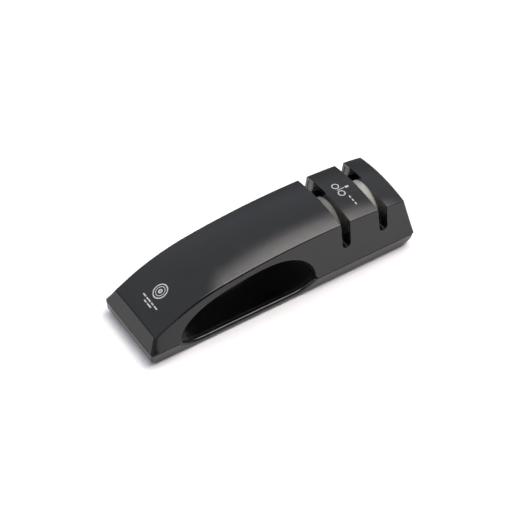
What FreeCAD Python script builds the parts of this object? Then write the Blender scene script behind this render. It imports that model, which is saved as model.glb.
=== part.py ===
import FreeCAD, Part
import math
import os
import re
import Sketcher

# Two-stage pull-through sharpener: a hollow housing with a finger opening, a base tray under it,
# and two pairs of ceramic wheels that spin on axles below the two blade slots.
# +X runs from the low front end to the slots, +Z is up and Z = 0 is the surface it stands on.

Vector = FreeCAD.Vector

SIZES = {
    # overall, at the seam between the housing and the base; each side's top edge stands in by top_inset
    "case_length": 200.0,
    "case_width": 58.8,
    "top_inset": 4.65,
    "seam_height": 10.9,
    "seam_gap": 0.7,
    "seam_inset": 0.9,
    # side outline of the housing: heights along its side edges, places from its two ends.
    # crest_drop is how far the long crest arc has fallen where the nose arc takes over
    "front_setback": 5.3,
    "front_height": 20.6,
    "rear_setback": 6.5,
    "rear_height": 39.6,
    "crest_height": 44.6,
    "crest_from_rear": 73.0,
    "crest_drop": 5.2,
    "nose_length": 56.2,
    "tail_length": 18.3,
    # how much higher the middle of the top is than its side edges
    "front_crown": 0.4,
    "crest_crown": 2.6,
    "rear_crown": 3.0,
    "shell_wall": 2.2,
    "front_round": 2.2,
    "edge_round": 0.7,
    # base tray
    "foot_drop": 0.8,
    "floor_wall": 2.0,
    "base_lean": 10.4,
    "base_wall": 3.8,
    "base_front_wall": 3.5,
    "base_rear_wall": 6.5,
    "base_front_round": 5.0,
    "base_rear_run": 9.5,
    "base_rear_rise": 7.0,
    "base_edge_round": 2.0,
    "lip_rise": 2.0,
    "lip_wall": 1.2,
    "fit_gap": 0.2,
    # finger opening: two quarter ellipses above the seam and a shallow scoop below it
    "opening_front_margin": 21.0,
    "opening_slot_margin": 24.8,
    "arch_height": 38.0,
    "arch_rear": 33.0,
    "arch_shoulder": 14.5,
    "arch_flare": 3.4,
    "scoop_floor": 4.9,
    "scoop_front_run": 18.5,
    "scoop_rear_run": 15.5,
    "sill_width": 5.3,
    "sill_round": 1.9,
    "liner_wall": 1.3,
    "liner_step": 0.3,
    # blade slots
    "slot_rear_margin": 23.8,
    "slot_pitch": 29.0,
    "slot_width": 7.5,
    "slot_foot_width": 6.4,
    "slot_floor": 24.6,
    "guide_wall": 1.4,
    "guide_step": 0.15,
    "guide_gap": 0.4,
    # wheels: each is a cone, and a pair opens the slot into a V
    "wheel_radius": 16.4,
    "wheel_top": 40.9,
    "rim_inset": 0.45,
    "rim_wall": 3.0,
    "rim_bevel": 0.3,
    "cone_root": 4.5,
    "hub_radius": 6.0,
    "pair_gap": 0.2,
    "window_gap": 0.7,
    "axle_radius": 2.0,
    "axle_play": 0.05,
    "washer_radius": 4.6,
    "washer_wall": 0.4,
    "washer_play": 0.05,
    "clip_radius": 3.6,
    "clip_wall": 0.6,
    "clip_depth": 0.4,
    "axle_end": 0.8,
    # wheel cradles, which stand in a rib frame on the floor and carry the guides
    "cradle_space": 1.2,
    "cradle_wall": 2.0,
    "cradle_rise": 5.4,
    "cradle_table": 9.0,
    "saddle_rise": 4.0,
    "rib_wall": 1.5,
    "rib_rise": 3.0,
    # case screws, their posts on the housing and their sockets on the base
    "screw_front_margin": 12.0,
    "screw_side_margin": 12.4,
    "post_radius": 3.2,
    "post_gap": 0.1,
    "socket_radius": 4.2,
    "deck_height": 6.8,
    "seat_height": 3.6,
    "screw_radius": 1.4,
    "screw_length": 14.0,
    "screw_tip": 1.6,
    "thread_gap": 0.05,
    "hole_gap": 0.25,
    "head_radius": 2.6,
    "head_gap": 0.3,
    "head_height": 1.6,
    "drive_width": 0.7,
    "drive_length": 3.0,
    "drive_depth": 0.9,
    # rubber feet
    "foot_margin": 28.0,
    "foot_side_margin": 11.4,
    "foot_radius": 5.5,
    "foot_recess": 0.8,
    "foot_round": 0.5,
}

# Places that several pieces share, worked out from the sizes.
CASE_FRONT = "(-case_length / 2)"
CASE_REAR = "(case_length / 2)"
SLOT_TWO = "(case_length / 2 - slot_rear_margin)"
SLOT_ONE = f"({SLOT_TWO} - slot_pitch)"
OPENING_FRONT = f"({CASE_FRONT} + opening_front_margin)"
OPENING_REAR = f"({SLOT_ONE} - opening_slot_margin)"
ARCH_PLACE = f"({OPENING_REAR} - arch_rear)"
NOSE_END = f"({CASE_FRONT} + nose_length)"
TAIL_START = f"({CASE_REAR} - tail_length)"
CREST_PLACE = f"({CASE_REAR} - crest_from_rear)"
CREST_RUN = f"({CREST_PLACE} - {NOSE_END})"
CREST_RADIUS = f"(({CREST_RUN} ^ 2 + crest_drop ^ 2) / (2 * crest_drop))"
NOSE_SLOPE = f"({CREST_RUN} / ({CREST_RADIUS} - crest_drop))"
OUTER_SHARE = "(1 - (case_width / (case_width - 2 * top_inset)) ^ 2)"
RIM_PLACE = "(slot_width / 2 - rim_inset)"
WHEEL_FACE = f"({RIM_PLACE} + rim_wall)"
AXLE_HEIGHT = "(wheel_top - wheel_radius)"
CRADLE_INNER = f"({WHEEL_FACE} + washer_wall + 2 * washer_play)"
CRADLE_OUTER = f"({CRADLE_INNER} + cradle_wall)"
CRADLE_REACH = "(wheel_radius + cradle_space + cradle_wall)"
FLOOR_TOP = "(foot_drop + floor_wall)"
STAGES = {"coarse": SLOT_ONE, "fine": SLOT_TWO}
SCREW_PLACES = (
    f"({CASE_FRONT} + screw_front_margin)",
    f"(({OPENING_REAR} + liner_step + liner_wall + {SLOT_ONE} - {CRADLE_OUTER}) / 2)",
    f"(({SLOT_ONE} + {SLOT_TWO}) / 2)",
)

NOSE_SHARES = (0.25, 0.6)  # where along the nose two more wall sections are drawn
WALL_REACH = 1.25  # wall sections stand this much higher above the seam than the case does

doc = FreeCAD.newDocument("sharpener")
sheet = doc.addObject("Spreadsheet::Sheet", "Sizes")
nodes = []


def fill_sheet():
    for row, (alias, number) in enumerate(SIZES.items(), start=1):
        sheet.set(f"A{row}", alias.replace("_", " "))
        sheet.set(f"B{row}", str(number))
        sheet.setAlias(f"B{row}", alias)
    doc.recompute()


# A formula is written with the sheet's plain names; link() ties a property to it.
def formula(text):
    return re.sub(r"[a-z]+(?:_[a-z]+)+", lambda name: "Sizes." + name.group(0), str(text))


def amount(text):
    return float(sheet.evalExpression(formula(text)))


def link(item, **properties):
    for path, text in properties.items():
        item.setExpression(path.replace("__", "."), formula(text))


def new_body(name):
    return doc.addObject("PartDesign::Body", name)


def new_sketch(body, role, offset="0", across="0", upward="0"):
    sketch = body.newObject("Sketcher::SketchObject", body.Name + "_outline")
    plane = [part for part in body.Origin.OriginFeatures if part.Role == role][0]
    sketch.AttachmentSupport = [(plane, "")]
    sketch.MapMode = "FlatFace"
    link(sketch, AttachmentOffset__Base__x=across, AttachmentOffset__Base__y=upward,
         AttachmentOffset__Base__z=offset)
    return sketch


def place_of(corner):
    return Vector(amount(corner[0]), amount(corner[1]), 0)


def constrain(sketch, kind, *where, text=None):
    if text is None:
        return sketch.addConstraint(Sketcher.Constraint(kind, *where))
    index = sketch.addConstraint(Sketcher.Constraint(kind, *where, amount(text)))
    sketch.setExpression(f"Constraints[{index}]", formula(text))
    return index


def pin(sketch, element, point, corner):
    constrain(sketch, "DistanceX", element, point, text=corner[0])
    constrain(sketch, "DistanceY", element, point, text=corner[1])


# A closed outline through the corners. bends maps a side's number to its arc: the bow of its first
# shape, and the formula of its radius, or None where the smooth corners settle it. At a smooth
# corner the two sides run on from each other.
def outline(sketch, corners, bends=None, smooth=()):
    bends = bends or {}
    spots = [place_of(corner) for corner in corners]
    count = len(spots)
    for side in range(count):
        start, end = spots[side], spots[(side + 1) % count]
        if side in bends:
            across = Vector(start.y - end.y, end.x - start.x, 0).normalize()
            sketch.addGeometry(Part.Arc(start, (start + end) / 2 + across * bends[side][0], end))
        else:
            sketch.addGeometry(Part.LineSegment(start, end))
    begins = [near_end(sketch, side, spots[side]) for side in range(count)]
    for side, begin in enumerate(begins):
        before = (side - 1) % count
        kind = "Tangent" if side in smooth else "Coincident"
        constrain(sketch, kind, before, 3 - begins[before], side, begin)
        pin(sketch, side, begin, corners[side])
    for side, (bow, radius) in bends.items():
        if radius:
            constrain(sketch, "Radius", side, text=radius)


def join(sketch, one, other, spot):
    constrain(sketch, "Coincident", one, near_end(sketch, one, spot), other, near_end(sketch, other, spot))


# Which end of an element, 1 or 2, lies nearer to the spot: an arc counts its ends anticlockwise.
def near_end(sketch, element, spot):
    gaps = [(sketch.getPoint(element, end) - spot).Length for end in (1, 2)]
    return 1 if gaps[0] < gaps[1] else 2


def pad(body, sketch, length, both_ways=False, down=False, taper="0"):
    item = body.newObject("PartDesign::Pad", body.Name + "_pad")
    item.Profile = sketch
    item.Midplane = both_ways
    item.Reversed = down
    link(item, Length=length, TaperAngle=taper)
    return item


def block(name, corner, size):
    item = doc.addObject("Part::Box", name)
    link(item, Placement__Base__x=corner[0], Placement__Base__y=corner[1], Placement__Base__z=corner[2],
         Length=size[0], Width=size[1], Height=size[2])
    return item


# A cylinder along Z with its foot at the given place.
def post(name, place, radius, height):
    item = doc.addObject("Part::Cylinder", name)
    link(item, Placement__Base__x=place[0], Placement__Base__y=place[1], Placement__Base__z=place[2],
         Radius=radius, Height=height)
    return item


def fuse(name, *items):
    item = doc.addObject("Part::MultiFuse", name)
    item.Shapes = list(items)
    return item


def common(name, *items):
    item = doc.addObject("Part::MultiCommon", name)
    item.Shapes = list(items)
    return item


def cut(name, base, *tools):
    for tool in tools:
        item = doc.addObject("Part::Cut", name)
        item.Base, item.Tool = base, tool
        base = item
    return base


def rounded(name, base, choose):
    doc.recompute()
    item = doc.addObject("Part::Fillet", name)
    item.Base = base
    edges = []
    for number, edge in enumerate(base.Shape.Edges, start=1):
        radii = choose(edge)
        if radii:
            edges.append((number, *radii))
    item.Edges = edges
    return item


def node(item, label):
    item.Label = label
    nodes.append(item)
    return item


# ---- forms shared by the housing, the liner, the guides and the base

# Height of the crest arc, moved inward by inset, at a place along the length.
def on_crest(place, inset="0"):
    radius = f"({CREST_RADIUS} - {inset})"
    return f"(crest_height - {CREST_RADIUS} + sqrt({radius} ^ 2 - ({place} - {CREST_PLACE}) ^ 2))"


# Side outline of the housing drawn in XZ, moved inward by inset and raised by a share of the crown.
def draw_side(sketch, inset, share):
    outline(sketch, [
        (f"{CASE_FRONT} + {inset}", "seam_height"),
        (f"{CASE_REAR} - {inset}", "seam_height"),
        (f"{CASE_REAR} - rear_setback - {inset}", f"rear_height + {share} * rear_crown - {inset}"),
        (TAIL_START, f"{on_crest(TAIL_START, inset)} + {share} * crest_crown"),
        (NOSE_END, f"{on_crest(NOSE_END, inset)} + {share} * crest_crown"),
        (f"{CASE_FRONT} + front_setback + {inset}", f"front_height + {share} * front_crown - {inset}"),
    ], {2: (-0.3, None), 3: (-4.0, f"({CREST_RADIUS} - {inset})"), 4: (-2.5, None)}, smooth=(3, 4))


# Where the side walls' cross-sections are drawn, and the height of their top edge there.
def wall_sections():
    corner = f"({CASE_FRONT} + front_setback)"
    run, fall = "(nose_length - front_setback)", "(crest_height - crest_drop - front_height)"
    sections = [(f"({CASE_FRONT} - 1)", "front_height"), (corner, "front_height")]
    for share in NOSE_SHARES:
        # a parabola from the front corner that meets the crest arc at its own slope
        straight = f"{NOSE_SLOPE} * {run} * (1 - {share})"
        bend = f"({fall} - {NOSE_SLOPE} * {run}) * (1 - {share}) ^ 2"
        height = f"(crest_height - crest_drop - {straight} - {bend})"
        sections.append((f"({corner} + {share} * {run})", height))
    middle = f"(({NOSE_END} + {CREST_PLACE}) / 2)"
    sections += [(place, on_crest(place)) for place in (NOSE_END, middle, CREST_PLACE, TAIL_START)]
    sections.append((f"({CASE_REAR} - rear_setback)", "rear_height"))
    sections.append((f"({CASE_REAR} + 1)", "rear_height"))
    return sections


# The space between the side walls. Their feet run straight along the seam and their top edges run
# straight above, closer together, so the lower the case is, the more the walls lean.
def between_walls(name, inset, start=None):
    body = new_body(name)
    sketches = []
    foot = f"(case_width / 2 - {inset})"
    top = f"({foot} - {WALL_REACH} * top_inset)"
    for place, height in wall_sections():
        sketch = new_sketch(body, "YZ_Plane", place)
        upper = f"(seam_height + {WALL_REACH} * ({height} - seam_height))"
        corners = [(f"-{foot}", "seam_height"), (foot, "seam_height"), (top, upper), (f"-{top}", upper)]
        if start is not None:
            corners[1:1] = [(f"-{foot}", start), (foot, start)]
        outline(sketch, corners)
        sketches.append(sketch)
    loft = body.newObject("PartDesign::AdditiveLoft", name + "_loft")
    loft.Profile = sketches[0]
    loft.Sections = sketches[1:]
    return body


# The housing's outer form, or its hollow when inset by a wall: a smooth loft over three side
# outlines, of which the middle one is a crown higher, trimmed by the leaning walls. The outer two,
# on the seam's width, are so much lower that the arch has lost one crown at the top edges.
def housing_form(name, inset):
    body = new_body(name + "_crown")
    sketches = []
    for side in (-1, 0, 1):
        sketch = new_sketch(body, "XZ_Plane", f"{side} * case_width / 2")
        draw_side(sketch, inset, OUTER_SHARE if side else "1")
        sketches.append(sketch)
    loft = body.newObject("PartDesign::AdditiveLoft", name + "_loft")
    loft.Profile = sketches[0]
    loft.Sections = sketches[1:]
    return common(name, body, between_walls(name + "_walls", inset))


# The finger opening as a solid along Y, grown outward on all sides. The housing's lower rear corner
# is rounded off where the opening meets the seam.
def opening_form(name, grow, flared=False):
    body = new_body(name)
    sketch = new_sketch(body, "XZ_Plane")
    front, rear = f"({OPENING_FRONT} - {grow})", f"({OPENING_REAR} + {grow})"
    floor, top = f"(scoop_floor - {grow})", f"(arch_height + {grow})"
    corners = [
        (front, "seam_height"),
        (f"{front} + scoop_front_run", floor),
        (f"{rear} - scoop_rear_run", floor),
        (rear, "seam_height"),
        (rear, "arch_shoulder"),
    ]
    if flared:
        corners[4:4] = [(f"{rear} + arch_flare", "seam_height"), (rear, "seam_height + arch_flare")]
    spots = [place_of(corner) for corner in corners]
    middles = {0: ramp_middle(spots[0], spots[1]), 2: ramp_middle(spots[3], spots[2])}
    if flared:
        middles[4] = Vector(spots[4].x, spots[5].y, 0) - Vector(1, 1, 0) * amount("arch_flare") / math.sqrt(2)
    last = len(spots) - 1
    for side in range(last):
        start, end = spots[side], spots[side + 1]
        bent = side in middles
        sketch.addGeometry(Part.Arc(start, middles[side], end) if bent else Part.LineSegment(start, end))
    rear_arch = quarter_ellipse(sketch, (ARCH_PLACE, "arch_shoulder"), rear, top, rear=True)
    front_arch = quarter_ellipse(sketch, (ARCH_PLACE, "seam_height"), front, top, rear=False)
    for side in range(1, last):
        pin(sketch, side, near_end(sketch, side, spots[side]), corners[side])
    for side in range(last - 1):
        join(sketch, side, side + 1, spots[side + 1])
    join(sketch, last - 1, rear_arch, spots[last])
    join(sketch, front_arch, 0, spots[0])
    depth = f"(seam_height - {floor})"
    for side, run in ((0, "scoop_front_run"), (2, "scoop_rear_run")):
        constrain(sketch, "Radius", side, text=f"({run} ^ 2 + {depth} ^ 2) / (2 * {depth})")
    if flared:
        constrain(sketch, "Radius", 4, text="arch_flare")
    pad(body, sketch, "case_width + 20", both_ways=True)
    return body


# A point of the ramp that leaves the scoop's flat floor smoothly and climbs to the seam.
def ramp_middle(high, low):
    run, rise = high.x - low.x, high.y - low.y
    radius = (run ** 2 + rise ** 2) / (2 * rise)
    return Vector(low.x + run / 2, low.y + radius - math.sqrt(radius ** 2 - (run / 2) ** 2), 0)


# A quarter of an ellipse between its top and its end on the level of its centre.
def quarter_ellipse(sketch, centre, end, top, rear):
    middle = place_of(centre)
    ellipse = Part.Ellipse(middle, abs(amount(end) - middle.x), amount(top) - middle.y)
    turn = 0 if rear else math.pi / 2
    arc = sketch.addGeometry(Part.ArcOfEllipse(ellipse, turn, turn + math.pi / 2))
    sketch.exposeInternalGeometry(arc)
    pin(sketch, arc, 3, centre)
    constrain(sketch, "Horizontal", arc + 1)
    constrain(sketch, "Distance", arc + 1, text=f"2 * abs({end} - ({centre[0]}))")
    constrain(sketch, "Distance", arc + 2, text=f"2 * (({top}) - ({centre[1]}))")
    constrain(sketch, "DistanceX", arc, 2 if rear else 1, text=centre[0])
    constrain(sketch, "DistanceY", arc, 1 if rear else 2, text=centre[1])
    return arc


# A blade slot as a solid along Y: a slim U that narrows towards its round floor.
def slot_form(name, place, grow):
    body = new_body(name)
    sketch = new_sketch(body, "XZ_Plane")
    half_top = f"(slot_width / 2 + {grow})"
    half_foot = f"(slot_foot_width / 2 + {grow})"
    bend = "(slot_floor + slot_foot_width / 2)"
    top = "(crest_height + 10)"
    outline(sketch, [
        (f"{place} - {half_top}", top), (f"{place} - {half_foot}", bend),
        (f"{place} + {half_foot}", bend), (f"{place} + {half_top}", top),
    ], {1: (-amount(half_foot), None)})
    constrain(sketch, "DistanceY", 1, 3, text=bend)
    pad(body, sketch, "case_width + 20", both_ways=True)
    return body


# A piece turned about an axle, from corners given as (place along X, radius).
def turned(name, place, corners):
    body = new_body(name)
    sketch = new_sketch(body, "XZ_Plane", across=place, upward=AXLE_HEIGHT)
    outline(sketch, corners)
    spin = body.newObject("PartDesign::Revolution", name + "_turn")
    spin.Profile = sketch
    spin.ReferenceAxis = (sketch, ["H_Axis"])
    spin.Angle = 360
    return body


# A round bar along X, centred on an axle, or part of a turn of one.
def bar(name, start, radius, length, sweep=360):
    item = doc.addObject("Part::Cylinder", name)
    item.Placement.Rotation = FreeCAD.Rotation(Vector(0, 1, 0), 90)
    item.Angle = sweep
    link(item, Placement__Base__x=start, Placement__Base__z=AXLE_HEIGHT, Radius=radius, Height=length)
    return item


# ---- housing and base

# The round along a side edge narrows from the nose to the slots.
def side_round(place):
    nose, slots = amount(CASE_FRONT), amount(SLOT_ONE)
    share = min(max((place - nose) / (slots - nose), 0), 1)
    return amount("front_round") * (1 - share) + amount("edge_round") * share


def housing_rounds(edge):
    if edge.BoundBox.ZMax < amount("seam_height") + 0.1:
        return None
    return [side_round(edge.valueAt(at).x) for at in edge.ParameterRange]


def make_housing():
    shell = cut("shell", rounded("shell_outside", housing_form("outside", "0"), housing_rounds),
                housing_form("inside", "shell_wall"), opening_form("shell_opening", "0", flared=True),
                slot_form("shell_slot_one", SLOT_ONE, "0"), slot_form("shell_slot_two", SLOT_TWO, "0"))
    stems, tops, holes = [], [], []
    for number, (across, along) in enumerate(screw_spots()):
        foot = "(deck_height + post_gap)"
        stems.append(post(f"stem_{number}", (across, along, foot), "post_radius",
                          f"seam_height + 1 - {foot}"))
        tops.append(post(f"top_{number}", (across, along, "seam_height"), "post_radius", "crest_height"))
        holes.append(post(f"pilot_{number}", (across, along, foot), "screw_radius + thread_gap",
                          "seat_height + screw_length + 1 - deck_height"))
    posts = fuse("posts", *stems, common("post_tops", fuse("long_posts", *tops),
                                         housing_form("post_limit", "shell_wall / 2")))
    return node(cut("housing", fuse("shell_and_posts", shell, posts), *holes), "top_housing")


def screw_spots():
    return [(place, f"{side} * (case_width / 2 - screw_side_margin)")
            for place in SCREW_PLACES for side in (-1, 1)]


def base_outside():
    body = new_body("base_side")
    sketch = new_sketch(body, "XZ_Plane")
    top = "seam_height - seam_gap"
    outline(sketch, [
        (CASE_FRONT, top), (CASE_FRONT, "foot_drop + base_front_round"),
        (f"{CASE_FRONT} + base_front_round", "foot_drop"),
        (f"{CASE_REAR} - base_rear_run", "foot_drop"),
        (CASE_REAR, "foot_drop + base_rear_rise"), (CASE_REAR, top),
    ], {1: (-1.5, "base_front_round"), 3: (-1.0, None)}, smooth=(3,))
    pad(body, sketch, "case_width + 20", both_ways=True)
    sides = new_body("base_sides")
    plan = new_sketch(sides, "XY_Plane", "seam_height")
    long, wide = "(case_length / 2 + 5)", "(case_width / 2)"
    outline(plan, [(f"-{long}", f"-{wide}"), (long, f"-{wide}"), (long, wide), (f"-{long}", wide)])
    pad(sides, plan, "seam_height", down=True, taper="-base_lean")
    return common("base_blank", body, sides)


def base_rounds(edge):
    box = edge.BoundBox
    lengthwise = min(abs(box.YMin), abs(box.YMax)) > amount("case_width / 2") - 4 and box.YLength < 3
    if lengthwise and box.ZMin < amount("seam_height - seam_gap") - 0.5:
        return [amount("base_edge_round")] * 2
    return None


# The rim of the scoop on both outer sides, along the flat floor and up both ramps.
def sill_rounds(edge):
    box = edge.BoundBox
    outer = min(abs(box.YMin), abs(box.YMax)) > amount("case_width / 2") - 4 and box.YLength < 3
    inside = box.XMin > amount(OPENING_FRONT) - 1 and box.XMax < amount(OPENING_REAR) + 5
    if outer and inside and box.ZMin > amount("scoop_floor") - 0.5:
        return [amount("sill_round")] * 2
    return None


def base_cavity():
    hollow = block("cavity", (f"{CASE_FRONT} + base_front_wall", "-(case_width / 2 - base_wall)", FLOOR_TOP),
                   ("case_length - base_front_wall - base_rear_wall", "case_width - 2 * base_wall",
                    "seam_height"))
    sills = [block(f"sill_{name}", (f"{OPENING_FRONT} - liner_wall - 2", start, "0"),
                   (f"{OPENING_REAR} - {OPENING_FRONT} + 2 * liner_wall + 4", "sill_width", "seam_height"))
             for name, start in (("near", "-case_width / 2"), ("far", "case_width / 2 - sill_width"))]
    return cut("base_hollow", hollow, *sills)


def make_lip():
    band = block("lip_band", (CASE_FRONT, "-case_width / 2", "seam_height - 0.1"),
                 ("case_length", "case_width", "lip_rise + 0.1"))
    blank = common("lip_blank", band, housing_form("lip_outside", "(shell_wall + fit_gap)"))
    return cut("lip", blank, housing_form("lip_inside", "(shell_wall + fit_gap + lip_wall)"),
               opening_form("lip_opening", "(liner_step + liner_wall + fit_gap)"))


# A low frame on the floor that a cradle stands in.
def rib_frame(stage):
    pieces = []
    outer, inner = ("out", "fit_gap + rib_wall", "rib_rise + 0.5"), ("in", "fit_gap", "rib_rise + 2")
    for name, gap, tall in (outer, inner):
        long, wide = f"({CRADLE_OUTER} + {gap})", f"({CRADLE_REACH} + {gap})"
        corner = (f"{STAGES[stage]} - {long}", f"-{wide}", f"{FLOOR_TOP} - 0.5")
        pieces.append(block(f"{stage}_rib_{name}", corner, (f"2 * {long}", f"2 * {wide}", tall)))
    return cut(f"{stage}_ribs", *pieces)


def make_base():
    blank = rounded("base_rounded", base_outside(), base_rounds)
    scooped = cut("scooped", blank, opening_form("base_opening", "0"))
    sides = rounded("sill_rounded", scooped, sill_rounds)
    middle = "(seam_height - seam_gap - 0.5)"
    ledge = cut("ledge", block("ledge_blank", (f"{CASE_FRONT} + seam_inset",
                                               "-(case_width / 2 - seam_inset)", middle),
                               ("case_length - 2 * seam_inset", "case_width - 2 * seam_inset",
                                f"seam_height - {middle}")),
                opening_form("ledge_opening", "0"))
    tub = cut("tub", fuse("tub_blank", sides, ledge), base_cavity())
    sockets, holes = [], []
    for number, (across, along) in enumerate(screw_spots()):
        sockets.append(post(f"socket_{number}", (across, along, "foot_drop + 0.5"), "socket_radius",
                            "deck_height - foot_drop - 0.5"))
        below = (across, along, "-1")
        holes.append(post(f"hole_{number}", below, "screw_radius + hole_gap", "deck_height + 5"))
        holes.append(post(f"bore_{number}", below, "head_radius + head_gap", "seat_height + 1"))
    recesses = [post(f"recess_{name}", (across, along, "-1"), "foot_radius + fit_gap",
                     "foot_drop + foot_recess + 1") for name, across, along in foot_spots()]
    whole = fuse("base_whole", tub, make_lip(), *sockets, *[rib_frame(stage) for stage in STAGES])
    return node(cut("base", whole, *holes, *recesses), "base_tray")


# The ring that lines the finger opening, between the housing's sides and between the base's sills.
def make_liner():
    ring = cut("liner_ring", opening_form("liner_outside", "(liner_step + liner_wall)"),
               opening_form("liner_inside", "liner_step"))
    ring = common("liner_between_sides", ring, between_walls("liner_limit", "(shell_wall + fit_gap)", "0"))
    half = "(case_width / 2 - sill_width - fit_gap)"
    beside = [block(f"liner_{name}_cut", (CASE_FRONT, start, "-1"),
                    ("case_length", "case_width", "seam_height + 1"))
              for name, start in (("near", f"-{half} - case_width"), ("far", half))]
    return node(cut("liner", ring, *beside), "grip_liner")


# ---- the two sharpening stages

def make_guide(stage):
    place = STAGES[stage]
    channel = cut(f"{stage}_channel", slot_form(f"{stage}_channel_out", place, "(guide_step + guide_wall)"),
                  slot_form(f"{stage}_channel_in", place, "guide_step"))
    limit = housing_form(f"{stage}_guide_limit", "(shell_wall + guide_gap)")
    fitted = common(f"{stage}_fitted", channel, limit)
    reach = "(slot_width / 2 + guide_step + guide_wall + 1)"
    window = bar(f"{stage}_window", f"{place} - {reach}", "wheel_radius + window_gap", f"2 * {reach}")
    return node(cut(f"{stage}_guide", fitted, window), f"{stage}_slot_guide")


def make_cradle(stage):
    place = STAGES[stage]
    body = new_body(f"{stage}_cradle_blank")
    sketch = new_sketch(body, "YZ_Plane", f"{place} - {CRADLE_OUTER}")
    shoulder, top = "slot_floor + saddle_rise", f"{AXLE_HEIGHT} + cradle_rise"
    outline(sketch, [(f"-{CRADLE_REACH}", FLOOR_TOP), (CRADLE_REACH, FLOOR_TOP), (CRADLE_REACH, shoulder),
                     ("cradle_table", top), ("-cradle_table", top), (f"-{CRADLE_REACH}", shoulder)])
    pad(body, sketch, f"2 * {CRADLE_OUTER}")
    inner_reach = f"({CRADLE_REACH} - cradle_wall)"
    inside = block(f"{stage}_cradle_inside",
                   (f"{place} - {CRADLE_INNER}", f"-{inner_reach}", f"{FLOOR_TOP} + cradle_wall"),
                   (f"2 * {CRADLE_INNER}", f"2 * {inner_reach}", "case_width"))
    axle_hole = bar(f"{stage}_axle_hole", f"{place} - {CRADLE_OUTER} - 1", "axle_radius + 0.02",
                    f"2 * {CRADLE_OUTER} + 2")
    saddle = slot_form(f"{stage}_saddle", place, "(guide_step + guide_wall)")
    return node(cut(f"{stage}_cradle_cut", body, inside, axle_hole, saddle), f"{stage}_cradle")


# One wheel of a pair: side is 1 towards +X and -1 towards -X.
def make_wheel(stage, name, side):
    def corner(along, radius):
        return (f"{side} * ({along})", radius)

    def cone(radius):
        slope = f"(({RIM_PLACE} - pair_gap / 2) / (wheel_radius - cone_root))"
        return f"pair_gap / 2 + ({radius} - cone_root) * {slope}"

    ring = turned(f"{stage}_{name}_ring", STAGES[stage], [
        corner(cone("hub_radius"), "hub_radius"), corner(cone("wheel_radius"), "wheel_radius"),
        corner(f"{WHEEL_FACE} - rim_bevel", "wheel_radius"), corner(WHEEL_FACE, "wheel_radius - rim_bevel"),
        corner(WHEEL_FACE, "hub_radius")])
    bore = "axle_radius + axle_play"
    hub = turned(f"{stage}_{name}_core", STAGES[stage], [
        corner("pair_gap / 2", bore), corner("pair_gap / 2", "cone_root"),
        corner(cone("hub_radius"), "hub_radius"), corner(WHEEL_FACE, "hub_radius"), corner(WHEEL_FACE, bore)])
    return node(ring, f"{stage}_{name}_wheel"), node(hub, f"{stage}_{name}_hub")


def make_axle(stage):
    groove = f"({CRADLE_OUTER} + washer_play)"
    groove_end = f"({groove} + clip_wall + washer_play)"
    tip = f"({groove_end} + axle_end)"
    thin = "axle_radius - clip_depth"
    half = [(groove, "axle_radius"), (groove, thin), (groove_end, thin), (groove_end, "axle_radius"),
            (tip, "axle_radius"), (tip, "0")]
    corners = half + [(f"-{along}", radius) for along, radius in reversed(half)]
    return node(turned(f"{stage}_rod", STAGES[stage], corners), f"{stage}_axle")


def make_washers(stage):
    rings = []
    for side, start in (("left", f"-({WHEEL_FACE} + washer_play + washer_wall)"),
                        ("right", f"({WHEEL_FACE} + washer_play)")):
        place = f"{STAGES[stage]} + {start}"
        disc = bar(f"{stage}_{side}_disc", place, "washer_radius", "washer_wall")
        eye = bar(f"{stage}_{side}_eye", f"{place} - 1", "axle_radius + axle_play", "washer_wall + 2")
        rings.append(cut(f"{stage}_{side}_washer", disc, eye))
    return node(group(f"{stage}_washers", rings), f"{stage}_washers")


# Snap rings that sit in the axle grooves outside the cradle walls, each open over a sixth of a turn.
def make_clips(stage):
    clips = []
    for side, start in (("left", f"-({CRADLE_OUTER} + washer_play + clip_wall)"),
                        ("right", f"({CRADLE_OUTER} + washer_play)")):
        place = f"{STAGES[stage]} + {start}"
        ring = bar(f"{stage}_{side}_clip_disc", place, "clip_radius", "clip_wall", sweep=300)
        eye = bar(f"{stage}_{side}_clip_eye", f"{place} - 1", "axle_radius - clip_depth", "clip_wall + 2")
        clips.append(cut(f"{stage}_{side}_clip", ring, eye))
    return node(group(f"{stage}_clip_pair", clips), f"{stage}_axle_clips")


def group(name, pieces):
    item = doc.addObject("Part::Compound", name)
    item.Links = pieces
    return item


# ---- screws and feet

def make_screw(number, across, along):
    def spot(height):
        return (across, along, height)

    shank = post(f"shank_{number}", spot("seat_height"), "screw_radius", "screw_length - screw_tip")
    tip = doc.addObject("Part::Cone", f"tip_{number}")
    link(tip, Placement__Base__x=across, Placement__Base__y=along,
         Placement__Base__z="seat_height + screw_length - screw_tip", Radius1="screw_radius",
         Radius2="screw_radius / 4", Height="screw_tip")
    head = post(f"head_{number}", spot("seat_height - head_height"), "head_radius", "head_height")
    under = "seat_height - head_height - 1"
    slots = [block(f"drive_{number}_{turn}", (f"{across} - {long} / 2", f"{along} - {wide} / 2", under),
                   (long, wide, "drive_depth + 1"))
             for turn, long, wide in ((0, "drive_length", "drive_width"), (1, "drive_width", "drive_length"))]
    return cut(f"screw_{number}", fuse(f"screw_blank_{number}", shank, tip, head), *slots)


def make_screws():
    screws = [make_screw(number, *spot) for number, spot in enumerate(screw_spots())]
    return node(group("screws", screws), "case_screws")


def foot_spots():
    ends = ("front", f"{CASE_FRONT} + foot_margin"), ("rear", f"{CASE_REAR} - foot_margin")
    return [(f"{end}_{side}", f"({place})", f"({sign} * (case_width / 2 - foot_side_margin))")
            for end, place in ends for side, sign in (("left", 1), ("right", -1))]


def foot_rounds(edge):
    low = edge.BoundBox.ZMax < 0.01 and edge.BoundBox.XLength > 1
    return [amount("foot_round")] * 2 if low else None


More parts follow.
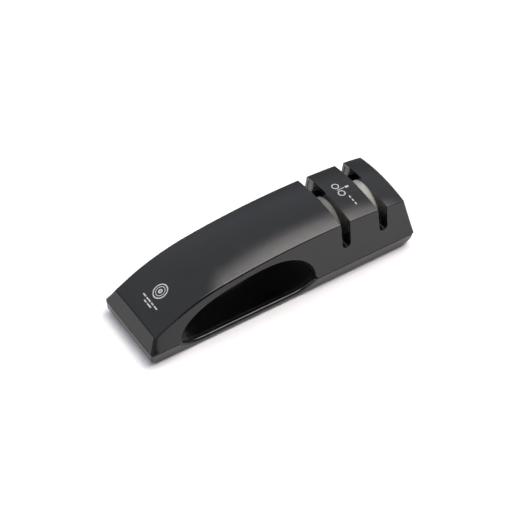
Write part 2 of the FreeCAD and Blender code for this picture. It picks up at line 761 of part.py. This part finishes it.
def make_feet():
    for name, across, along in foot_spots():
        disc = post(f"disc_{name}", (across, along, "0"), "foot_radius", "foot_drop + foot_recess")
        node(rounded(f"foot_{name}", disc, foot_rounds), f"foot_{name}")


def make_stages():
    for stage in STAGES:
        make_guide(stage)
        make_cradle(stage)
        make_axle(stage)
        for name, side in (("left", -1), ("right", 1)):
            make_wheel(stage, name, side)
        make_washers(stage)
        make_clips(stage)


def check_and_write():
    doc.recompute()
    failed = [item.Name for item in doc.Objects if {"Invalid", "Error"} & set(item.State)]
    failed += [item.Label for item in nodes if item.Shape.isNull() or not item.Shape.isValid()]
    if failed:
        raise SystemExit("these did not build: " + ", ".join(failed))
    os.makedirs("parts", exist_ok=True)
    for item in nodes:
        item.Shape.exportStep(f"parts/{item.Label}.step")
        print(f"{item.Label}: {len(item.Shape.Solids)} solid, {item.Shape.Volume:.0f} mm3")


fill_sheet()
make_housing()
make_base()
make_liner()
make_stages()
make_screws()
make_feet()
check_and_write()
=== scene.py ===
import math

import bpy
import numpy as np
from mathutils import Matrix, Vector


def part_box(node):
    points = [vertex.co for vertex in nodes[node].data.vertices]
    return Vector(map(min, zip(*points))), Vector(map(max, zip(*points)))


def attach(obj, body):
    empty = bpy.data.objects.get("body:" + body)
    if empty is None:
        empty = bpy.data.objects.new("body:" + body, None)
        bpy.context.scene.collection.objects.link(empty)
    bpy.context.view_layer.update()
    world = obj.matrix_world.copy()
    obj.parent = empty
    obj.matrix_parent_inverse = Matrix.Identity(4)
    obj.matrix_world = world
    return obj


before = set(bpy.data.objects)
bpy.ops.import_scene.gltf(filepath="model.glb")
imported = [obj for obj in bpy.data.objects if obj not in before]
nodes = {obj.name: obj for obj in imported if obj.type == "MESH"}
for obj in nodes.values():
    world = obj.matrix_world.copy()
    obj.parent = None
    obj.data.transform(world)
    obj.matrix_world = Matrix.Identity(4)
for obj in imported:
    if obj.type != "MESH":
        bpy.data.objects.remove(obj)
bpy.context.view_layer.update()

# Finishes, printed marks, table and light for a two-stage knife sharpener.
# The case, wheels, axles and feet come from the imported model; this script dresses them.

print("frame loaded:", len(nodes), "nodes")


def newMaterial(name):
    material = bpy.data.materials.new(name)
    material.use_nodes = True
    tree = material.node_tree
    tree.nodes.clear()
    out = tree.nodes.new("ShaderNodeOutputMaterial")
    shader = tree.nodes.new("ShaderNodeBsdfPrincipled")
    tree.links.new(shader.outputs["BSDF"], out.inputs["Surface"])
    return material, tree, shader


def wire(tree, source, target):
    # a number, a colour or another node's output goes into a socket
    if hasattr(source, "is_output"):
        tree.links.new(source, target)
    else:
        target.default_value = source


def placeOf(tree, centre=(0, 0, 0), stretch=(1, 1, 1)):
    # Object coordinates in metres, moved so that centre is the origin, then stretched
    coordinates = tree.nodes.new("ShaderNodeTexCoord")
    mapping = tree.nodes.new("ShaderNodeMapping")
    mapping.inputs["Location"].default_value = [-c * s for c, s in zip(centre, stretch)]
    mapping.inputs["Scale"].default_value = stretch
    tree.links.new(coordinates.outputs["Object"], mapping.inputs["Vector"])
    return mapping.outputs["Vector"]


def noise(tree, vector, scale, detail=4.0, roughness=0.5):
    node = tree.nodes.new("ShaderNodeTexNoise")
    tree.links.new(vector, node.inputs["Vector"])
    node.inputs["Scale"].default_value = scale
    node.inputs["Detail"].default_value = detail
    node.inputs["Roughness"].default_value = roughness
    return node.outputs["Fac"]


def remap(tree, value, low, high, toLow, toHigh):
    node = tree.nodes.new("ShaderNodeMapRange")
    node.interpolation_type = "SMOOTHSTEP"
    for name, number in (("From Min", low), ("From Max", high), ("To Min", toLow), ("To Max", toHigh)):
        node.inputs[name].default_value = number
    tree.links.new(value, node.inputs["Value"])
    return node.outputs["Result"]


def maths(tree, operation, first, second=0.0):
    node = tree.nodes.new("ShaderNodeMath")
    node.operation = operation
    wire(tree, first, node.inputs[0])
    wire(tree, second, node.inputs[1])
    return node.outputs["Value"]


def blendColours(tree, share, first, second):
    node = tree.nodes.new("ShaderNodeMix")
    node.data_type = "RGBA"
    wire(tree, share, node.inputs["Factor"])
    for source, socket in ((first, node.inputs[6]), (second, node.inputs[7])):
        wire(tree, source if hasattr(source, "is_output") else (*source, 1.0), socket)
    return node.outputs[2]


def bump(tree, height, distance, strength=1.0, normal=None):
    node = tree.nodes.new("ShaderNodeBump")
    node.inputs["Distance"].default_value = distance
    node.inputs["Strength"].default_value = strength
    tree.links.new(height, node.inputs["Height"])
    if normal is not None:
        tree.links.new(normal, node.inputs["Normal"])
    return node.outputs["Normal"]


def softEdge(tree, radius):
    node = tree.nodes.new("ShaderNodeBevel")
    node.samples = 8
    node.inputs["Radius"].default_value = radius
    return node.outputs["Normal"]


def edgeShare(tree, softNormal):
    # 0 on the flats, rising to 1 where the softened normal leaves the surface's own
    geometry = tree.nodes.new("ShaderNodeNewGeometry")
    dot = tree.nodes.new("ShaderNodeVectorMath")
    dot.operation = "DOT_PRODUCT"
    tree.links.new(geometry.outputs["Normal"], dot.inputs[0])
    tree.links.new(softNormal, dot.inputs[1])
    return remap(tree, dot.outputs["Value"], 0.998, 0.93, 0.0, 1.0)


def dress(nodeNames, material):
    for name in nodeNames:
        for slot in nodes[name].material_slots:
            slot.material = material


glossBlack = {
    "colour": (0.0038, 0.0040, 0.0044),
    "worn": (0.010, 0.0105, 0.011),
    "rough": (0.07, 0.12),       # clean patches and patches dulled by handling
    "edgeRadius": 0.0003,
    "ripple": 0.000004,          # depth of the long moulding ripple, metres
    "grain": 0.0000006,          # depth of the fine grain, metres
    "ior": 1.48,
}

satinBlack = {
    "colour": (0.0050, 0.0053, 0.0053),
    "worn": (0.012, 0.0125, 0.012),
    "rough": (0.07, 0.12),
    "edgeRadius": 0.0003,
    "ripple": 0.000002,
    "grain": 0.0000005,
    "ior": 1.5,
}

# The grip liner and slot guides sit down in the opening and slots. Their black plastic is coloured darker
# than the case plastic, which is painted shade for the recess.
linerShadeBlack = {
    "colour": (0.0010, 0.0011, 0.0016),
    "worn": (0.003, 0.003, 0.0036),
    "rough": (0.10, 0.15),
    "edgeRadius": 0.0002,
    "ripple": 0.000002,
    "grain": 0.0000005,
    "ior": 1.45,
}


def mouldedPlastic(name, look):
    material, tree, shader = newMaterial(name)
    place = placeOf(tree)
    soft = softEdge(tree, look["edgeRadius"])
    worn = edgeShare(tree, soft)
    patches = noise(tree, place, 38.0, 5.0, 0.6)
    scuffs = noise(tree, place, 900.0, 3.0, 0.7)
    wear = maths(tree, "MULTIPLY", worn, remap(tree, scuffs, 0.35, 0.7, 0.1, 0.8))
    tint = blendColours(tree, remap(tree, patches, 0.3, 0.75, 0.0, 0.35), look["colour"], look["worn"])
    wire(tree, blendColours(tree, wear, tint, look["worn"]), shader.inputs["Base Color"])
    dull = remap(tree, patches, 0.32, 0.72, *look["rough"])
    wire(tree, maths(tree, "ADD", dull, maths(tree, "MULTIPLY", wear, 0.12)), shader.inputs["Roughness"])
    ripple = bump(tree, noise(tree, place, 120.0, 1.0), look["ripple"], 1.0, soft)
    grain = bump(tree, noise(tree, place, 5200.0, 2.0), look["grain"], 1.0, ripple)
    wire(tree, grain, shader.inputs["Normal"])
    shader.inputs["IOR"].default_value = look["ior"]
    return material


dress(["top_housing"], mouldedPlastic("glossBlackHousing", glossBlack))
dress(["base_tray"], mouldedPlastic("satinBlackBase", satinBlack))
# liner and guides: black plastic painted darker as shade in the opening and slots
dress(["grip_liner", "coarse_slot_guide", "fine_slot_guide"], mouldedPlastic("shadeDarkenedLiner", linerShadeBlack))
print("case plastics done")


coarseCeramic = {
    "colour": (0.62, 0.605, 0.565),
    "grit": (0.47, 0.46, 0.44),
    "rough": (0.50, 0.72),
    "grain": 0.00002,
    "grainScale": 2600.0,
    "ring": 0.000012,
    "ringScale": 420.0,
}

fineCeramic = {
    "colour": (0.88, 0.87, 0.82),
    "grit": (0.76, 0.75, 0.71),
    "rough": (0.34, 0.5),
    "grain": 0.000008,
    "grainScale": 4800.0,
    "ring": 0.000006,
    "ringScale": 700.0,
}


def groundCeramic(name, look, axle):
    # grit speckle, and grinding rings about the axle, which lies along X at axle
    material, tree, shader = newMaterial(name)
    place = placeOf(tree, axle)
    speckle = noise(tree, place, look["grainScale"], 3.0, 0.65)
    stain = noise(tree, place, 160.0, 4.0, 0.6)
    rings = tree.nodes.new("ShaderNodeTexWave")
    rings.wave_type = "RINGS"
    rings.rings_direction = "X"
    rings.inputs["Scale"].default_value = look["ringScale"]
    rings.inputs["Distortion"].default_value = 1.5
    rings.inputs["Detail"].default_value = 2.0
    tree.links.new(place, rings.inputs["Vector"])
    share = maths(tree, "ADD", remap(tree, speckle, 0.4, 0.66, 0.0, 0.7),
                  remap(tree, stain, 0.45, 0.75, 0.0, 0.3))
    wire(tree, blendColours(tree, share, look["colour"], look["grit"]), shader.inputs["Base Color"])
    wire(tree, remap(tree, speckle, 0.3, 0.7, *look["rough"]), shader.inputs["Roughness"])
    grooves = bump(tree, rings.outputs["Fac"], look["ring"])
    wire(tree, bump(tree, speckle, look["grain"], 1.0, grooves), shader.inputs["Normal"])
    shader.inputs["IOR"].default_value = 1.7
    return material


def axleOf(stage):
    low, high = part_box(f"{stage}_axle")
    return [(a + b) / 2 for a, b in zip(low, high)]


for stage, look in (("coarse", coarseCeramic), ("fine", fineCeramic)):
    dress([f"{stage}_left_wheel", f"{stage}_right_wheel"],
          groundCeramic(f"{stage}GroundCeramic", look, axleOf(stage)))
print("wheels done")


innerPlastics = {
    "greyCradle": {"colour": (0.045, 0.046, 0.05), "mottle": (0.032, 0.033, 0.036), "rough": (0.5, 0.66),
                   "grain": 0.00001, "nodes": ["coarse_cradle", "fine_cradle"]},
    "ivoryHub": {"colour": (0.68, 0.675, 0.64), "mottle": (0.60, 0.595, 0.55), "rough": (0.36, 0.5),
                 "grain": 0.000006,
                 "nodes": ["coarse_left_hub", "coarse_right_hub", "fine_left_hub", "fine_right_hub"]},
    "naturalWasher": {"colour": (0.80, 0.79, 0.73), "mottle": (0.72, 0.70, 0.64), "rough": (0.3, 0.42),
                      "grain": 0.000004, "nodes": ["coarse_washers", "fine_washers"]},
}

footRubber = {
    "colour": (0.022, 0.022, 0.022),
    "dust": (0.055, 0.053, 0.05),
    "rough": (0.7, 0.9),
    "grain": 0.00002,
}

steel = {
    "colour": (0.56, 0.56, 0.57),
    "shade": (0.42, 0.42, 0.44),
    "rough": (0.18, 0.36),
    "turning": 0.000004,
}


def innerPlastic(name, look):
    material, tree, shader = newMaterial(name)
    place = placeOf(tree)
    mottle = noise(tree, place, 240.0, 4.0, 0.6)
    wire(tree, blendColours(tree, remap(tree, mottle, 0.35, 0.7, 0.0, 1.0), look["colour"], look["mottle"]),
         shader.inputs["Base Color"])
    wire(tree, remap(tree, mottle, 0.3, 0.7, *look["rough"]), shader.inputs["Roughness"])
    wire(tree, bump(tree, noise(tree, place, 3500.0, 2.0), look["grain"]), shader.inputs["Normal"])
    return material


def rubber(name, look):
    material, tree, shader = newMaterial(name)
    place = placeOf(tree)
    dust = noise(tree, place, 420.0, 6.0, 0.7)
    wire(tree, blendColours(tree, remap(tree, dust, 0.5, 0.8, 0.0, 0.6), look["colour"], look["dust"]),
         shader.inputs["Base Color"])
    wire(tree, remap(tree, dust, 0.3, 0.7, *look["rough"]), shader.inputs["Roughness"])
    wire(tree, bump(tree, noise(tree, place, 2400.0, 3.0), look["grain"]), shader.inputs["Normal"])
    return material


def turnedSteel(name, look, stretch):
    # fine turning marks: noise pressed flat across the turning axis
    material, tree, shader = newMaterial(name)
    marks = noise(tree, placeOf(tree, stretch=stretch), 1.0, 3.0, 0.6)
    wire(tree, blendColours(tree, remap(tree, marks, 0.35, 0.7, 0.0, 1.0), look["colour"], look["shade"]),
         shader.inputs["Base Color"])
    wire(tree, remap(tree, marks, 0.3, 0.7, *look["rough"]), shader.inputs["Roughness"])
    wire(tree, bump(tree, marks, look["turning"]), shader.inputs["Normal"])
    shader.inputs["Metallic"].default_value = 1.0
    return material


for name, look in innerPlastics.items():
    dress(look["nodes"], innerPlastic(name, look))
dress(["coarse_axle", "fine_axle", "coarse_axle_clips", "fine_axle_clips"],
      turnedSteel("turnedSteelAxle", steel, (9000.0, 500.0, 500.0)))
dress(["case_screws"], turnedSteel("turnedSteelScrew", steel, (500.0, 500.0, 9000.0)))
dress(["foot_front_left", "foot_front_right", "foot_rear_left", "foot_rear_right"],
      rubber("footRubber", footRubber))
print("inner finishes done")


printedInk = {
    "colour": (0.46, 0.46, 0.45),
    "faded": (0.34, 0.34, 0.33),
    "rough": (0.35, 0.5),
    "grain": 0.000002,
    "above": 0.00003,            # how far the ink stands above the plastic, metres
    "below": 0.00002,            # how far its underside lies in the plastic
    "step": 0.4,                 # spacing of the points along a line, millimetres
    "ringPoints": 72,
    # A mark is drawn in millimetres about its centre: across is towards -Y and up is towards +X.
    # A line runs from one (across, up) to the next; a ring is (across, up, radius).
    "wheelMark": {
        "centre": (-76.5, -1.4),
        "rings": [((0, 0, 4.6), 0.75), ((0, 0, 3.0), 0.45), ((0, 0, 1.0), 0.9)],
        "lines": [],
    },
    "frontBars": {
        "centre": (-85.3, -1.9),
        "rings": [],
        "lines": [([(-8.3, 0.9), (-5.1, 0.9)], 0.8), ([(-4.2, 0.9), (0.6, 0.9)], 0.8),
                  ([(1.5, 0.9), (3.9, 0.9)], 0.8), ([(4.8, 0.9), (8.3, 0.9)], 0.8),
                  ([(-4.0, -1.0), (-1.4, -1.0)], 0.8), ([(-0.5, -1.0), (4.0, -1.0)], 0.8)],
    },
    "pairMark": {
        "centre": (62.0, 1.6),
        "rings": [((-3.7, -2.2, 2.2), 0.7), ((3.7, -2.2, 2.2), 0.7)],
        "lines": [([(0, -3.4), (0, 2.2)], 0.55), ([(0, 2.9), (0, 5.6)], 1.5)],
    },
    "sideBars": {
        "centre": (62.7, -10.6),
        "rings": [],
        "lines": [([(-4.2, 0), (-2.2, 0)], 0.9), ([(-1.0, 0), (1.0, 0)], 0.9), ([(2.2, 0), (4.2, 0)], 0.9)],
    },
}


def topHeights(name, across):
    # Heights of the node's upward triangles over many (x, y) places at once. A place lies in a
    # triangle when its three shares, each a ratio of signed areas, are not negative.
    mesh = nodes[name].data
    mesh.calc_loop_triangles()
    points = np.empty(len(mesh.vertices) * 3)
    mesh.vertices.foreach_get("co", points)
    turn = np.array(nodes[name].matrix_world)
    points = points.reshape(-1, 3) @ turn[:3, :3].T + turn[:3, 3]
    corners = np.empty(len(mesh.loop_triangles) * 3, dtype=int)
    mesh.loop_triangles.foreach_get("vertices", corners)
    a, b, c = np.moveaxis(points[corners.reshape(-1, 3)], 1, 0)
    area = (b[:, 0] - a[:, 0]) * (c[:, 1] - a[:, 1]) - (b[:, 1] - a[:, 1]) * (c[:, 0] - a[:, 0])
    low, high = across.min(axis=0), across.max(axis=0)
    reach = np.stack([a, b, c])[:, :, :2]
    near = (area > 1e-12) & (reach.max(axis=0) >= low).all(axis=1) & (reach.min(axis=0) <= high).all(axis=1)
    a, b, c, area = a[near], b[near], c[near], area[near]
    x, y = across[:, :1], across[:, 1:]
    shareB = ((x - a[:, 0]) * (c[:, 1] - a[:, 1]) - (y - a[:, 1]) * (c[:, 0] - a[:, 0])) / area
    shareC = ((b[:, 0] - a[:, 0]) * (y - a[:, 1]) - (b[:, 1] - a[:, 1]) * (x - a[:, 0])) / area
    inside = (shareB > -1e-6) & (shareC > -1e-6) & (shareB + shareC < 1 + 1e-6)
    heights = a[:, 2] + shareB * (b[:, 2] - a[:, 2]) + shareC * (c[:, 2] - a[:, 2])
    return np.where(inside, heights, -1.0).max(axis=1)


def spacedPath(corners, step):
    # points at even spacing along a run of straight pieces
    corners = np.array(corners, dtype=float)
    lengths = np.concatenate([[0.0], np.cumsum(np.linalg.norm(np.diff(corners, axis=0), axis=1))])
    at = np.linspace(0.0, lengths[-1], max(3, int(lengths[-1] / step) + 1))
    return np.stack([np.interp(at, lengths, corners[:, k]) for k in (0, 1)], axis=1)


def strokeGrid(path, width, closed, look):
    # A box profile along a path: at every point the edges stand half a width to either side, and
    # each edge has a lower and an upper point measured from the plastic under it.
    ahead = np.roll(path, -1, axis=0) - np.roll(path, 1, axis=0) if closed else np.gradient(path, axis=0)
    ahead /= np.linalg.norm(ahead, axis=1, keepdims=True)
    aside = np.stack([-ahead[:, 1], ahead[:, 0]], axis=1) * width / 2
    edges = np.stack([path - aside, path + aside, path + aside, path - aside], axis=1)
    heights = topHeights("top_housing", edges.reshape(-1, 2)).reshape(-1, 4)
    heights += np.array([-look["below"], -look["below"], look["above"], look["above"]])
    points = np.concatenate([edges, heights[:, :, None]], axis=2)
    count = len(path)
    row = np.arange(count if closed else count - 1)[:, None]
    side = np.arange(4)[None, :]
    after, beside = (row + 1) % count, (side + 1) % 4
    faces = np.stack([row * 4 + side, after * 4 + side, after * 4 + beside, row * 4 + beside], axis=-1)
    faces = faces.reshape(-1, 4)
    if not closed:
        last = (count - 1) * 4
        faces = np.concatenate([faces, [[0, 1, 2, 3]], [[last + 3, last + 2, last + 1, last]]])
    return points.reshape(-1, 3), faces


def makeMark(name, look, material):
    mark = look[name]
    centre = np.array(mark["centre"]) / 1000
    strokes = []
    for (across, up, radius), width in mark["rings"]:
        turn = np.linspace(0, 2 * np.pi, look["ringPoints"], endpoint=False)
        circle = np.stack([across + radius * np.cos(turn), up + radius * np.sin(turn)], axis=1)
        strokes.append((circle, width, True))
    for corners, width in mark["lines"]:
        strokes.append((spacedPath(corners, look["step"]), width, False))
    points, faces, start = [], [], 0
    for path, width, closed in strokes:
        placed = centre + np.stack([path[:, 1], -path[:, 0]], axis=1) / 1000
        strokePoints, strokeFaces = strokeGrid(placed, width / 1000, closed, look)
        points.append(strokePoints)
        faces.append(strokeFaces + start)
        start += len(strokePoints)
    mesh = bpy.data.meshes.new(name)
    mesh.from_pydata(np.concatenate(points).tolist(), [], np.concatenate(faces).tolist())
    mesh.validate()
    mesh.materials.append(material)
    piece = bpy.data.objects.new(name, mesh)
    bpy.context.scene.collection.objects.link(piece)
    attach(piece, "case")


def printInk(name, look):
    material, tree, shader = newMaterial(name)
    place = placeOf(tree)
    fade = noise(tree, place, 900.0, 4.0, 0.6)
    wire(tree, blendColours(tree, remap(tree, fade, 0.45, 0.75, 0.0, 1.0), look["colour"], look["faded"]),
         shader.inputs["Base Color"])
    wire(tree, remap(tree, fade, 0.3, 0.7, *look["rough"]), shader.inputs["Roughness"])
    wire(tree, bump(tree, noise(tree, place, 4000.0, 2.0), look["grain"]), shader.inputs["Normal"])
    return material


ink = printInk("paleInk", printedInk)
for name in ("wheelMark", "frontBars", "pairMark", "sideBars"):
    makeMark(name, printedInk, ink)
print("printed marks done")


studio = {
    "floorSize": 6.0,
    "floorColour": (0.90, 0.90, 0.90),
    "wallLight": 0.86,
    "wallTint": (0.95, 0.98, 1.06),
    "lowWallLight": 0.42,
    "lowWallEdge": (0.34, 0.60),     # sines of the elevations between which the walls brighten
    "screenLight": 0.04,
    "screenAim": (0.36, -0.72, 0.58),
    "screenEdge": (0.72, 0.86),      # cosines of the angles where the dark screen ends and is full
    "overheadLight": 7.0,
    "overheadTint": (1.0, 0.94, 0.92),
    "overheadAim": (0.36, -0.06, 0.93),
    "overheadEdge": (0.84, 1.0),
}


def makeFloor(look):
    # one flat square, seen from above
    half = look["floorSize"] / 2
    mesh = bpy.data.meshes.new("floor")
    corners = [(-half, -half, 0), (half, -half, 0), (half, half, 0), (-half, half, 0)]
    mesh.from_pydata(corners, [], [(0, 1, 2, 3)])
    floor = bpy.data.objects.new("floor", mesh)
    bpy.context.scene.collection.objects.link(floor)
    material, tree, shader = newMaterial("palePaper")
    fibres = noise(tree, placeOf(tree), 600.0, 3.0)
    pale = look["floorColour"]
    wire(tree, blendColours(tree, remap(tree, fibres, 0.3, 0.7, 0.0, 1.0), pale, [c * 0.985 for c in pale]),
         shader.inputs["Base Color"])
    shader.inputs["Roughness"].default_value = 0.9
    shader.inputs["Specular IOR Level"].default_value = 0.1
    mesh.materials.append(material)


def makeLight(look):
    # a room with pale upper walls, a dark screen beside the viewer and a soft light overhead
    world = bpy.data.worlds.new("studio")
    bpy.context.scene.world = world
    world.use_nodes = True
    tree = world.node_tree
    tree.nodes.clear()
    out = tree.nodes.new("ShaderNodeOutputWorld")
    background = tree.nodes.new("ShaderNodeBackground")
    tree.links.new(background.outputs["Background"], out.inputs["Surface"])
    coordinates = tree.nodes.new("ShaderNodeTexCoord")
    axes = tree.nodes.new("ShaderNodeSeparateXYZ")
    tree.links.new(coordinates.outputs["Generated"], axes.inputs["Vector"])
    raised = remap(tree, axes.outputs["Z"], *look["lowWallEdge"], 0.0, 1.0)
    low, high = ([look[name] * c for c in look["wallTint"]] for name in ("lowWallLight", "wallLight"))
    colour = blendColours(tree, raised, low, high)
    for name, shade in (("screen", [look["screenLight"]] * 3),
                        ("overhead", [look["overheadLight"] * c for c in look["overheadTint"]])):
        dot = tree.nodes.new("ShaderNodeVectorMath")
        dot.operation = "DOT_PRODUCT"
        dot.inputs[1].default_value = Vector(look[name + "Aim"]).normalized()
        tree.links.new(coordinates.outputs["Generated"], dot.inputs[0])
        share = remap(tree, dot.outputs["Value"], *look[name + "Edge"], 0.0, 1.0)
        colour = blendColours(tree, share, colour, shade)
    wire(tree, colour, background.inputs["Color"])


camera = {
    "aim": (-0.00247, -0.00143, 0.01834),
    "distance": 1.2489,
    "azimuth": -32.908,
    "elevation": 45.954,
    "roll": 0.0,
    "lens": 134.48,
}


def makeCamera(look):
    azimuth, elevation, roll = (math.radians(look[k]) for k in ("azimuth", "elevation", "roll"))
    back = Vector((math.sin(azimuth) * math.cos(elevation),
                   -math.cos(azimuth) * math.cos(elevation), math.sin(elevation)))
    right = Vector((math.cos(azimuth), math.sin(azimuth), 0.0))
    up = back.cross(right)
    axes = (right * math.cos(roll) + up * math.sin(roll), up * math.cos(roll) - right * math.sin(roll), back)
    data = bpy.data.cameras.new("camera")
    data.lens = look["lens"]
    data.sensor_width = 36.0
    data.clip_start, data.clip_end = 0.05, 50.0
    view = bpy.data.objects.new("camera", data)
    place = Matrix(axes).transposed().to_4x4()
    place.translation = Vector(look["aim"]) + back * look["distance"]
    view.matrix_world = place
    bpy.context.scene.collection.objects.link(view)
    bpy.context.scene.camera = view


makeFloor(studio)
makeLight(studio)
makeCamera(camera)
bpy.context.scene.view_settings.view_transform = "Standard"
print("floor, light and camera done")
